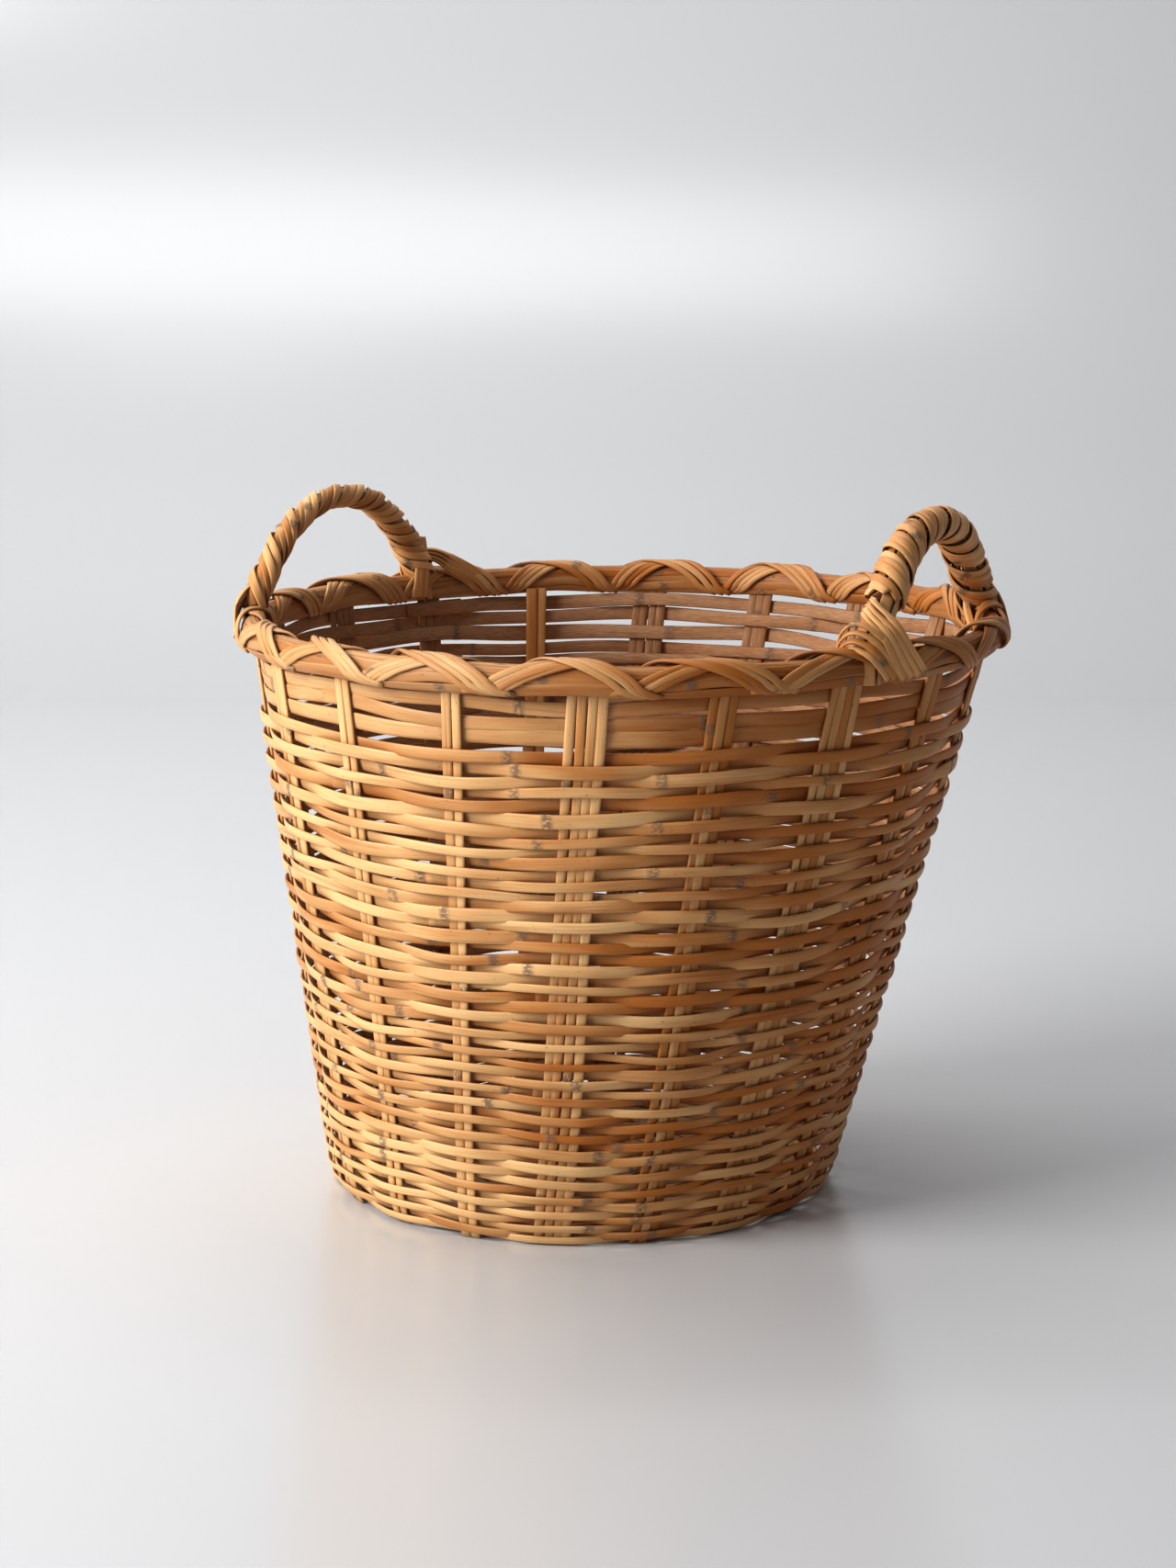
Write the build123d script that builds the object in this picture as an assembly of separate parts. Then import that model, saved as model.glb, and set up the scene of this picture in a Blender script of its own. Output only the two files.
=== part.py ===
from build123d import *

import os
from math import asin, atan2, cos, hypot, pi, radians, sin, sqrt

# Round willow-and-cane basket, in mm, +Z up. Z = 0 is the plane it stands on, and the
# Z axis passes through the middle of the rim. The two handles are over +X and -X.

# Overall sizes
RIM_HEIGHT = 305.0  # top of the two rim hoops
RIM_RADIUS = 195.0  # middle of the stakes at the top of the hoops
BASE_RADIUS = 136.0  # middle of the stakes where the straight wall begins
CURL_IN = 7.0  # how far the stakes turn in below that, down to the floor
LEAN_X = 20.0  # how far the rim's middle stands off the base's middle
LEAN_Y = 9.5
HANDLE_RISE = 55.0  # middle of the handle above the top of the rim hoops

# Stakes: upright bundles of flat cane
CANES_IN_STAKE = (4, 2, 3, 3, 3, 4, 2, 3, 4, 2, 3, 3, 2, 2, 4, 3, 4, 3)
CANE_WIDTH = 4.6
CANE_GAP = 0.2
STAKE_THICKNESS = 2.0
STAKE_FOOT = 0.6  # height of a stake's lower end

# Weavers: flat rings of split cane, each over one stake and under the next
WEAVER_THICKNESS = 1.6
LOWEST_WEAVER_WIDTH = 3.6
HIGHEST_WEAVER_WIDTH = 6.0  # the weavers widen evenly towards the rim
LEAST_WEAVER_GAP = 0.3
WEAVE_START = 1.0  # height of the lowest weaver's lower edge
BAND_COUNT = 14  # nodes that share the weavers
CURL_ROWS = 4  # rows that lie on the turned-in foot
PASS_MARGIN = 2.0  # how far a weaver stays level past each side of a stake

# Rim
HOOP_THICKNESS = 4.0
HOOP_HEIGHT = 13.3
TOP_CANE_THICKNESS = 2.0
LASHING_THICKNESS = 1.6
LASHING_WIDTH = 12.0
LASHINGS_IN_NODE = 3

# Handles
HANDLE_CORE_RADIUS = 6.0
HANDLE_SLEEVE_THICKNESS = 2.6
HANDLE_SHOULDER = 26.0  # bend radius of a handle's middle line beside its feet
HANDLE_SPLAY = 1.0  # degrees that a handle tips outward
RIGHT_FEET = (-27.5, 34.7)  # angles of a handle's feet on the rim, its -Y foot first
LEFT_FEET = (205.3, 151.7)
FOOT_CANES = 5
FOOT_CANE_WIDTH = 6.0
FOOT_CANE_THICKNESS = 1.6
FOOT_TOP_PITCH = 6.4  # foot canes, middle to middle, at the handle
FOOT_END_PITCH = 9.4  # and at their fanned lower ends
FOOT_ABOVE_RIM = 18.0
FOOT_BELOW_RIM = 9.0

# Base
BASE_HOOP_WIDTH = 8.0
BASE_HOOP_HEIGHT = 6.6
BASE_STICKS = 5  # each way in the cross
BASE_STICK_WIDTH = 6.4
BASE_STICK_PITCH = 7.0
BASE_STICK_THICKNESS = 1.8
BASE_STICK_LIFT = 0.8  # the lower sticks clear the table by this much
BASE_RING_PITCH = 7.4
BASE_RING_THICKNESS = 1.6

# One clearance for all pieces that lie against each other
CLEARANCE = 0.3

# Derived
STAKE_COUNT = len(CANES_IN_STAKE)
STAKE_PITCH = 360.0 / STAKE_COUNT
BUNDLE_HALF = (max(CANES_IN_STAKE) * (CANE_WIDTH + CANE_GAP) - CANE_GAP) / 2
HOOP_BOTTOM = RIM_HEIGHT - HOOP_HEIGHT
LASHING_BOTTOM = HOOP_BOTTOM - CLEARANCE - LASHING_THICKNESS
WEAVE_HEIGHT = LASHING_BOTTOM - CLEARANCE - WEAVE_START
WEAVER_WIDTH = (LOWEST_WEAVER_WIDTH + HIGHEST_WEAVER_WIDTH) / 2
WEAVER_COUNT = int((WEAVE_HEIGHT + LEAST_WEAVER_GAP) / (WEAVER_WIDTH + LEAST_WEAVER_GAP))
WEAVER_GAP = (WEAVE_HEIGHT - WEAVER_COUNT * WEAVER_WIDTH) / (WEAVER_COUNT - 1)
WEAVER_WIDENING = (HIGHEST_WEAVER_WIDTH - LOWEST_WEAVER_WIDTH) / (WEAVER_COUNT - 1)
TOP_CANE_BOTTOM = RIM_HEIGHT + CLEARANCE
TOP_CANE_TOP = TOP_CANE_BOTTOM + TOP_CANE_THICKNESS
LASHING_TOP = TOP_CANE_TOP + CLEARANCE + LASHING_THICKNESS
HANDLE_RADIUS = HANDLE_CORE_RADIUS + CLEARANCE + HANDLE_SLEEVE_THICKNESS


def weaver_low(row):
    """Height of a weaver's lower edge; row 0 is the lowest."""
    widened = WEAVER_WIDENING * row * (row - 1) / 2
    return WEAVE_START + row * (LOWEST_WEAVER_WIDTH + WEAVER_GAP) + widened


def weaver_high(row):
    """Height of a weaver's upper edge."""
    return weaver_low(row) + LOWEST_WEAVER_WIDTH + WEAVER_WIDENING * row


BEND_HEIGHT = weaver_low(CURL_ROWS) - WEAVER_GAP / 2


def stake_angle(index):
    """Angle of a stake about the basket's middle; +X lies midway between two."""
    return STAKE_PITCH * (index + 0.5)


def wall_radius(z):
    """Radius of the middle of the stakes at a height."""
    if z < BEND_HEIGHT:
        return BASE_RADIUS - CURL_IN * (1 - z / BEND_HEIGHT)
    rise = (z - BEND_HEIGHT) / (RIM_HEIGHT - BEND_HEIGHT)
    return BASE_RADIUS + (RIM_RADIUS - BASE_RADIUS) * rise


def outside_stakes(z):
    """Radius of the round surface that just clears the stakes on the outside."""
    return hypot(wall_radius(z) + STAKE_THICKNESS / 2, BUNDLE_HALF) + CLEARANCE


def inside_stakes(z):
    """Radius of the round surface that just clears the stakes on the inside."""
    return wall_radius(z) - STAKE_THICKNESS / 2 - CLEARANCE


def middle(z):
    """The basket's middle at a height, as it leans from its base to its rim."""
    share = 1 - z / RIM_HEIGHT
    return Vector(-LEAN_X * share, -LEAN_Y * share, z)


def at(z, radius, angle, sideways=0.0):
    """The point at a height, radius and angle, moved sideways round the wall."""
    turn = radians(angle)
    outward = Vector(cos(turn), sin(turn), 0)
    along = Vector(-sin(turn), cos(turn), 0)
    return middle(z) + outward * radius + along * sideways


def flat_section(points):
    """The flat face inside a closed run of points."""
    return Face(Wire.make_polygon(points, close=True))


def cane_section(z, angle, sideways):
    """Level section of one stake cane at a height."""
    half_width = CANE_WIDTH / 2
    inner = wall_radius(z) - STAKE_THICKNESS / 2
    outer = wall_radius(z) + STAKE_THICKNESS / 2
    return flat_section([
        at(z, inner, angle, sideways - half_width),
        at(z, outer, angle, sideways - half_width),
        at(z, outer, angle, sideways + half_width),
        at(z, inner, angle, sideways + half_width),
    ])


def stake(index):
    """One stake: flat canes side by side, turned in at the foot."""
    count = CANES_IN_STAKE[index]
    angle = stake_angle(index)
    canes = []
    for cane in range(count):
        sideways = (cane - (count - 1) / 2) * (CANE_WIDTH + CANE_GAP)
        heights = (STAKE_FOOT, BEND_HEIGHT, RIM_HEIGHT)
        sections = [cane_section(z, angle, sideways) for z in heights]
        canes.append(loft(sections, ruled=True))
    return Compound(children=canes)


def weaver_outline(z, phase, face):
    """Closed outline of a weaver's outer (face 1) or inner (face 0) surface."""
    corners = []
    reach = BUNDLE_HALF + PASS_MARGIN
    for index in range(STAKE_COUNT):
        angle = stake_angle(index)
        if index % 2 == phase:
            distance = wall_radius(z) + STAKE_THICKNESS / 2 + CLEARANCE
            distance += face * WEAVER_THICKNESS
        else:
            distance = inside_stakes(z) - (1 - face) * WEAVER_THICKNESS
        corners.append(at(z, distance, angle, -reach))
        corners.append(at(z, distance, angle, reach))
    return flat_section(corners)


def weaver(row):
    """One closed weaver ring; the next row up passes the stakes the other way."""
    edges = (weaver_low(row), weaver_high(row))
    phase = row % 2
    outer = loft([weaver_outline(z, phase, 1) for z in edges], ruled=True)
    inner = loft([weaver_outline(z, phase, 0) for z in edges], ruled=True)
    return (outer - inner).solid()


def weaver_band(band):
    """A band of neighbouring weavers, counted up from the base."""
    first = WEAVER_COUNT * band // BAND_COUNT
    after = WEAVER_COUNT * (band + 1) // BAND_COUNT
    return Compound(children=[weaver(row) for row in range(first, after)])


def round_face(z, radius):
    """Level disc about the basket's middle."""
    return Face(Wire.make_circle(radius, Plane(middle(z))))


def wall_ring(low, high, inner, outer):
    """Ring between two heights, with its radii given as functions of height."""
    outside = loft([round_face(z, outer(z)) for z in (low, high)], ruled=True)
    inside = loft([round_face(z, inner(z)) for z in (low, high)], ruled=True)
    return (outside - inside).solid()


def hoop_outer_face(z):
    """Radius of the outer rim hoop's outer face."""
    return outside_stakes(z) + HOOP_THICKNESS


def hoop_inner_face(z):
    """Radius of the inner rim hoop's inner face."""
    return inside_stakes(z) - HOOP_THICKNESS


def rim_hoop_outer():
    """Hoop round the outside of the stake tops."""
    return wall_ring(HOOP_BOTTOM, RIM_HEIGHT, outside_stakes, hoop_outer_face)


def rim_hoop_inner():
    """Hoop round the inside of the stake tops."""
    return wall_ring(HOOP_BOTTOM, RIM_HEIGHT, hoop_inner_face, inside_stakes)


def rim_top_cane():
    """Flat cane that covers the stake ends between the hoops."""
    return wall_ring(TOP_CANE_BOTTOM, TOP_CANE_TOP, hoop_inner_face, hoop_outer_face)


def lashing(index):
    """One closed lashing round both hoops and the top cane, midway between stakes."""
    angle = STAKE_PITCH * index
    half_width = LASHING_WIDTH / 2

    def frame(low, high, grow):
        corners = [
            (low, hoop_inner_face(low) - grow),
            (low, hoop_outer_face(low) + grow),
            (high, hoop_outer_face(high) + grow),
            (high, hoop_inner_face(high) - grow),
        ]
        start = flat_section([at(z, r, angle, -half_width) for z, r in corners])
        return extrude(start, amount=LASHING_WIDTH, dir=at(0, 0, angle, 1) - middle(0))

    outside = frame(LASHING_BOTTOM, LASHING_TOP, CLEARANCE + LASHING_THICKNESS)
    window_low = LASHING_BOTTOM + LASHING_THICKNESS
    window_high = LASHING_TOP - LASHING_THICKNESS
    return (outside - frame(window_low, window_high, CLEARANCE)).solid()


def rim_lashings(group):
    """A few neighbouring lashings."""
    first = group * LASHINGS_IN_NODE
    return Compound(children=[lashing(first + n) for n in range(LASHINGS_IN_NODE)])


def foot_angle(side, end):
    """Angle of a handle's foot: side 1 is +X, -1 is -X; end 1 is +Y, -1 is -Y."""
    feet = RIGHT_FEET if side > 0 else LEFT_FEET
    return feet[0] if end < 0 else feet[1]


def handle_path(side):
    """Middle line of a handle: a low arch with tight shoulders, tipped outward."""
    feet = [at(RIM_HEIGHT, RIM_RADIUS, foot_angle(side, end)) for end in (-1, 1)]
    centre = (feet[0] + feet[1]) / 2
    along = (feet[1] - feet[0]).normalized()
    outward = (centre - middle(RIM_HEIGHT)).normalized()
    tip = radians(HANDLE_SPLAY)
    upward = Vector(0, 0, cos(tip)) + outward * sin(tip)
    half_span = (feet[1] - feet[0]).length / 2
    shoulder_out = half_span - HANDLE_SHOULDER
    spread = half_span**2 + HANDLE_RISE**2 - 2 * half_span * HANDLE_SHOULDER
    crown_radius = spread / (2 * (HANDLE_RISE - HANDLE_SHOULDER))
    crown_low = HANDLE_RISE - crown_radius
    join = atan2(-crown_low, shoulder_out)
    foot_height = LASHING_TOP + CLEARANCE + HANDLE_RADIUS - RIM_HEIGHT
    start = asin(foot_height / HANDLE_SHOULDER)

    def on_arch(across, up, radius, turn):
        return centre + along * (across + radius * cos(turn)) + upward * (up + radius * sin(turn))

    def shoulder(end, turn):
        turn = turn if end > 0 else pi - turn
        return on_arch(end * shoulder_out, 0, HANDLE_SHOULDER, turn)

    half_way = (start + join) / 2
    crown = on_arch(0, crown_low, crown_radius, pi / 2)
    return Wire([
        Edge.make_three_point_arc(shoulder(-1, start), shoulder(-1, half_way), shoulder(-1, join)),
        Edge.make_three_point_arc(shoulder(-1, join), crown, shoulder(1, join)),
        Edge.make_three_point_arc(shoulder(1, join), shoulder(1, half_way), shoulder(1, start)),
    ])


def handle_core(side):
    """The bent rod inside a handle."""
    path = handle_path(side)
    return sweep(Plane(path @ 0, z_dir=path % 0) * Circle(HANDLE_CORE_RADIUS), path=path)


def handle_sleeve(side):
    """The cane wound round a handle's rod, as one closed layer."""
    path = handle_path(side)
    layer = Circle(HANDLE_RADIUS) - Circle(HANDLE_CORE_RADIUS + CLEARANCE)
    return sweep(Plane(path @ 0, z_dir=path % 0) * layer, path=path)


def handle_foot(side, end):
    """Flat canes that run down from a handle and fan out over the outside of the rim."""
    angle = foot_angle(side, end)
    low = HOOP_BOTTOM - FOOT_BELOW_RIM
    high = LASHING_TOP + FOOT_ABOVE_RIM
    past_lashings = hoop_outer_face(RIM_HEIGHT) + 2 * CLEARANCE + LASHING_THICKNESS
    past_sleeve = RIM_RADIUS + HANDLE_RADIUS + CLEARANCE
    radius = max(hypot(past_lashings, LASHING_WIDTH / 2), past_sleeve)
    half_width = FOOT_CANE_WIDTH / 2
    rim_middle = middle(RIM_HEIGHT)
    canes = []
    for cane in range(FOOT_CANES):
        step = cane - (FOOT_CANES - 1) / 2
        corners = []
        for z, sideways in (
            (low, step * FOOT_END_PITCH - half_width),
            (low, step * FOOT_END_PITCH + half_width),
            (high, step * FOOT_TOP_PITCH + half_width),
            (high, step * FOOT_TOP_PITCH - half_width),
        ):
            point = at(RIM_HEIGHT, radius, angle, sideways)
            corners.append(Vector(point.X, point.Y, z))
        outward = at(RIM_HEIGHT, 1, angle) - rim_middle
        canes.append(extrude(flat_section(corners), amount=FOOT_CANE_THICKNESS, dir=outward))
    return Compound(children=canes)


def base_hoop_outside():
    """Outer radius of the base hoop: it clears the lowest weavers' inner passes."""
    return inside_stakes(0) - WEAVER_THICKNESS - CLEARANCE


def base_ring(low, thickness, inner, outer):
    """Flat round ring about the base's middle."""
    ring = Cylinder(outer, thickness, align=(Align.CENTER, Align.CENTER, Align.MIN))
    hole = Cylinder(inner, thickness, align=(Align.CENTER, Align.CENTER, Align.MIN))
    foot = middle(0)
    return (Pos(foot.X, foot.Y, low) * (ring - hole)).solid()


def base_hoop():
    """Hoop that the basket stands on."""
    outer = base_hoop_outside()
    return base_ring(0, BASE_HOOP_HEIGHT, outer - BASE_HOOP_WIDTH, outer)


def base_sticks(layer):
    """Flat sticks across the base: layer 0 runs along X, layer 1 lies on it along Y."""
    low = BASE_STICK_LIFT + layer * (BASE_STICK_THICKNESS + CLEARANCE)
    reach = base_hoop_outside() - BASE_HOOP_WIDTH - CLEARANCE
    foot = middle(0)
    sticks = []
    for step in range(BASE_STICKS):
        across = (step - (BASE_STICKS - 1) / 2) * BASE_STICK_PITCH
        far_edge = abs(across) + BASE_STICK_WIDTH / 2
        length = 2 * sqrt(reach**2 - far_edge**2)
        stick = Box(length, BASE_STICK_WIDTH, BASE_STICK_THICKNESS)
        raised = low + BASE_STICK_THICKNESS / 2
        place = Pos(foot.X, foot.Y, raised) * Rot(Z=90 * layer) * Pos(0, across, 0)
        sticks.append(place * stick)
    return Compound(children=sticks)


def base_weave_radii():
    """Inner and outer radii of the flat rings woven over the sticks, inside out."""
    cross_half = ((BASE_STICKS - 1) * BASE_STICK_PITCH + BASE_STICK_WIDTH) / 2
    edge = base_hoop_outside() - BASE_HOOP_WIDTH - CLEARANCE
    count = int((edge - cross_half) / BASE_RING_PITCH)
    pitch = (edge - cross_half) / count
    starts = [cross_half + n * pitch for n in range(count)]
    return [(start, start + pitch - CLEARANCE) for start in starts]


def base_weave(half):
    """The inner (half 0) or outer (half 1) rings of the base's weave."""
    radii = base_weave_radii()
    split = len(radii) // 2
    chosen = radii[split:] if half else radii[:split]
    low = BASE_STICK_LIFT + 2 * (BASE_STICK_THICKNESS + CLEARANCE)
    rings = [base_ring(low, BASE_RING_THICKNESS, inner, outer) for inner, outer in chosen]
    return Compound(children=rings)


def pieces():
    """Every node of the basket with its solids."""
    made = {}
    for index in range(STAKE_COUNT):
        made[f"stake_{index + 1:02d}"] = stake(index)
    for band in range(BAND_COUNT):
        made[f"weaver_band_{band + 1:02d}"] = weaver_band(band)
    made["rim_hoop_outer"] = rim_hoop_outer()
    made["rim_hoop_inner"] = rim_hoop_inner()
    made["rim_top_cane"] = rim_top_cane()
    for group in range(STAKE_COUNT // LASHINGS_IN_NODE):
        made[f"rim_lashings_{group + 1}"] = rim_lashings(group)
    for side, side_name in ((1, "right"), (-1, "left")):
        made[f"handle_{side_name}_core"] = handle_core(side)
        made[f"handle_{side_name}_sleeve"] = handle_sleeve(side)
        made[f"handle_{side_name}_foot_front"] = handle_foot(side, -1)
        made[f"handle_{side_name}_foot_back"] = handle_foot(side, 1)
    made["base_hoop"] = base_hoop()
    made["base_sticks_lower"] = base_sticks(0)
    made["base_sticks_upper"] = base_sticks(1)
    made["base_weave_inner"] = base_weave(0)
    made["base_weave_outer"] = base_weave(1)
    return made


os.makedirs("parts", exist_ok=True)
for node, shape in pieces().items():
    export_step(shape, f"parts/{node}.step")
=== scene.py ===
import math

import bpy
import numpy as np
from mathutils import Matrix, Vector


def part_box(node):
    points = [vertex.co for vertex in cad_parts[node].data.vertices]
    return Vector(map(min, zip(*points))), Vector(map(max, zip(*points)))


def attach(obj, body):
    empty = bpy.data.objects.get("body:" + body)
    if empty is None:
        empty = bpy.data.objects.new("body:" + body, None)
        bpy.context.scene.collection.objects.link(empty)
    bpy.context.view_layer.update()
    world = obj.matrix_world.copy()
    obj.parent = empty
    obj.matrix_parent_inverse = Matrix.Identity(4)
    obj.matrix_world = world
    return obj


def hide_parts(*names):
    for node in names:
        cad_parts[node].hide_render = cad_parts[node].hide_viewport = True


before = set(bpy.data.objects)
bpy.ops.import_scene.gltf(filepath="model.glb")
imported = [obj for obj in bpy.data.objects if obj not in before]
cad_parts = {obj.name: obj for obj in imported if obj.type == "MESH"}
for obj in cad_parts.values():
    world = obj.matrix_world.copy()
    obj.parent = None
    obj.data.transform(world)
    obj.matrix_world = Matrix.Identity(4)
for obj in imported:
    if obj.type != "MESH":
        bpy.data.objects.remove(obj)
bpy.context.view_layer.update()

# A round basket woven from split cane, in metres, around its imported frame. Each cane is
# laid as its own closed length, and the canes of one frame node make one mesh.

draw = np.random.default_rng(41)

# ---------------------------------------------------------------- places in the frame


def node_box(node):
    low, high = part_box(node)
    return np.array(low), np.array(high)


HOOP_LOW, HOOP_HIGH = node_box("rim_hoop_outer")
BASE_LOW, BASE_HIGH = node_box("base_hoop")
RIM_TOP = HOOP_HIGH[2]
BORDER_LOW, BORDER_HIGH = (corner[2] for corner in node_box("rim_lashings_1"))
HOOP_STANDOFF = 0.0055  # middle of the stakes to the outside of the outer hoop
BASE_STANDOFF = 0.0032  # outside of the base hoop to the middle of the stakes
RIM_RADIUS = (HOOP_HIGH[0] - HOOP_LOW[0]) / 2 - HOOP_STANDOFF
FOOT_RADIUS = (BASE_HIGH[0] - BASE_LOW[0]) / 2 + BASE_STANDOFF
FOOT_CURL = 0.0034  # how far the wall turns in at the foot
CURL_HEIGHT = 0.017  # the wall turns in below this
RIM_MIDDLE = (HOOP_LOW + HOOP_HIGH) / 2 * (1, 1, 0)
BASE_MIDDLE = (BASE_LOW + BASE_HIGH) / 2 * (1, 1, 0)
STAKE_NODES = sorted(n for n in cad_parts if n.startswith("stake_"))
BAND_NODES = sorted(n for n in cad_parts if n.startswith("weaver_band_"))
STAKES = len(STAKE_NODES)
STAKE_ANGLE = 2 * math.pi / STAKES
CANES_IN_STAKE = (4, 2, 3, 3, 3, 4, 2, 3, 4, 2, 3, 3, 2, 2, 4, 3, 4, 3)
STAKE_CANE = 0.0048  # from one cane of a stake to the next
UP = np.array((0.0, 0.0, 1.0))


def smooth(share):
    """A soft rise from 0 to 1."""
    share = np.clip(share, 0, 1)
    return share * share * (3 - 2 * share)


def wall_radius(z):
    """From the wall's middle to the middle of the stakes, at a height."""
    straight = FOOT_RADIUS + FOOT_CURL + (RIM_RADIUS - FOOT_RADIUS - FOOT_CURL) * z / RIM_TOP
    return straight - FOOT_CURL * np.clip(1 - z / CURL_HEIGHT, 0, None) ** 2


def wall_flare(z):
    """How much wider the wall gets for each step up."""
    step = 0.0005
    return (wall_radius(z + step) - wall_radius(z - step)) / (2 * step)


def middle(z):
    """The wall's middle at a height, on the line that leans from the base to the rim."""
    height = np.asarray(z)[..., None]
    return BASE_MIDDLE + (RIM_MIDDLE - BASE_MIDDLE) * (height / RIM_TOP) + height * UP


def spokes(polar):
    """Unit vectors out from the middle and round the wall."""
    flat = np.zeros_like(polar, float)
    out = np.stack([np.cos(polar), np.sin(polar), flat], -1)
    round_ = np.stack([-np.sin(polar), np.cos(polar), flat], -1)
    return out, round_


def at(z, radius, polar, sideways=0.0):
    """A place by its height, radius and angle, and how far it is moved round the wall."""
    z, radius, polar, sideways = np.broadcast_arrays(z, radius, polar, sideways)
    out, round_ = spokes(polar)
    return middle(z) + out * radius[..., None] + round_ * sideways[..., None]


def wall_outward(z, polar):
    """Square to the wall, away from the inside."""
    z, polar = np.broadcast_arrays(z, polar)
    out, _ = spokes(polar)
    return out - UP * wall_flare(z)[..., None]


def stake_polar(index):
    return STAKE_ANGLE * (index + 0.5)


def any_phase():
    """A random place in a wave or round the basket, in radians."""
    return draw.uniform(0, 6)


# ---------------------------------------------------------------- lengths of cane

# Across a split cane, in half widths and half thicknesses: domed skin, flat pith.
CANE_SECTION = np.array([
    (1, 0), (0.93, 0.58), (0.58, 0.9), (0, 1), (-0.58, 0.9),
    (-0.93, 0.58), (-1, 0), (-0.86, -0.55), (0, -0.6), (0.86, -0.55),
])
CANE_SKIN = np.array([0.6, 1, 1, 1, 1, 1, 0.6, 0, 0, 0])  # 1 on skin, 0 on pith, and 0.6 at the sides, where painted shade darkens the edges
SKIN_SIDE = -0.1  # points of the section above this face the skin's way
JOINT_SPACING = (0.1, 0.27)
JOINT_LENGTH = 0.003
JOINT_WIDER, JOINT_THICKER = 0.05, 0.22  # shares of the cane's width and thickness
CLEAR_OF_JOINT = 0.02  # farther away than this, a joint doesn't show
STRANDS = 50  # the canes' grain is cut from this many metres of pattern


def unit(vectors):
    return vectors / np.linalg.norm(vectors, axis=-1, keepdims=True)


class Canes:
    """Lengths of split cane gathered into one mesh."""

    def __init__(self):
        self.points, self.faces, self.flat = [], [], []
        self.grain, self.skin, self.joint, self.tone, self.recess_shade = [], [], [], [], []
        self.count = 0

    def lay(self, path, outward, width, thickness, tone, tilt=0.0, pith_out=False, cover_shade=0.0):
        """One cane along a path, its domed side outward. Tone runs from pale to ripe, and the last
        argument is how much of the domed side other canes cover, painted there as shade."""
        steps, sides = len(path), len(CANE_SECTION)
        tangent = unit(np.gradient(path, axis=0))
        side = unit(np.cross(tangent, outward))
        up = np.cross(side, tangent)
        turn = np.broadcast_to(tilt, steps)[:, None]
        side, up = side * np.cos(turn) + up * np.sin(turn), up * np.cos(turn) - side * np.sin(turn)
        along = np.concatenate([[0], np.cumsum(np.linalg.norm(np.diff(path, axis=0), axis=1))])
        joints = [draw.uniform(0, JOINT_SPACING[1])]
        while joints[-1] < along[-1]:
            joints.append(joints[-1] + draw.uniform(*JOINT_SPACING))
        near = np.abs(along[:, None] - np.array(joints)).min(axis=1)
        swell = np.exp(-((near / JOINT_LENGTH) ** 2))
        half_width = np.broadcast_to(width, steps) / 2 * (1 + JOINT_WIDER * swell)
        half_thick = np.broadcast_to(thickness, steps) / 2 * (1 + JOINT_THICKER * swell)
        across = CANE_SECTION[None, :, 0] * half_width[:, None]
        lift = CANE_SECTION[None, :, 1] * half_thick[:, None]
        rings = path[:, None] + side[:, None] * across[..., None] + up[:, None] * lift[..., None]
        first = self.count
        here = first + np.arange(steps * sides).reshape(steps, sides)
        nxt = np.roll(here, -1, axis=1)
        quads = np.stack([here[:-1], here[1:], nxt[1:], nxt[:-1]], -1).reshape(-1, 4)
        self.points.append(rings.reshape(-1, 3))
        self.faces += quads.tolist() + [here[0].tolist(), here[-1][::-1].tolist()]
        self.flat += [True] * len(quads) + [False, False]
        strand = draw.uniform(0, STRANDS)
        grain = np.stack(np.broadcast_arrays(along[:, None], across, strand), -1)
        self.grain.append(grain.reshape(-1, 3))
        skin = 1 - CANE_SKIN if pith_out else CANE_SKIN
        self.skin.append(np.tile(skin, steps))
        self.joint.append(np.repeat(np.minimum(near, CLEAR_OF_JOINT), sides))
        self.tone.append(np.full(steps * sides, tone))
        # Painted shade where other canes cover this one: the covered share on the domed side, the rest
        # on the flat side.
        front = CANE_SECTION[:, 1] > SKIN_SIDE
        under = np.broadcast_to(cover_shade, steps)[:, None]
        self.recess_shade.append(np.where(front[None, :], under, 1 - under).ravel())
        self.count += steps * sides

    def piece(self, node, slot):
        """The finished mesh, standing for its frame node."""
        mesh = bpy.data.meshes.new(node + "_canes")
        mesh.from_pydata(np.concatenate(self.points).tolist(), [], self.faces)
        mesh.polygons.foreach_set("use_smooth", self.flat)
        grain = mesh.attributes.new("grain", "FLOAT_VECTOR", "POINT")
        grain.data.foreach_set("vector", np.concatenate(self.grain).astype(np.float32).ravel())
        kept_values = {"skin": self.skin, "joint": self.joint, "tone": self.tone, "recess_shade": self.recess_shade}
        for name, values in kept_values.items():
            kept = mesh.attributes.new(name, "FLOAT", "POINT")
            kept.data.foreach_set("value", np.concatenate(values).astype(np.float32))
        mesh.materials.append(FINISHES[slot])
        made = bpy.data.objects.new(node + "_canes", mesh)
        bpy.context.scene.collection.objects.link(made)
        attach(made, "root")
        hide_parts(node)


# ---------------------------------------------------------------- finishes


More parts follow.
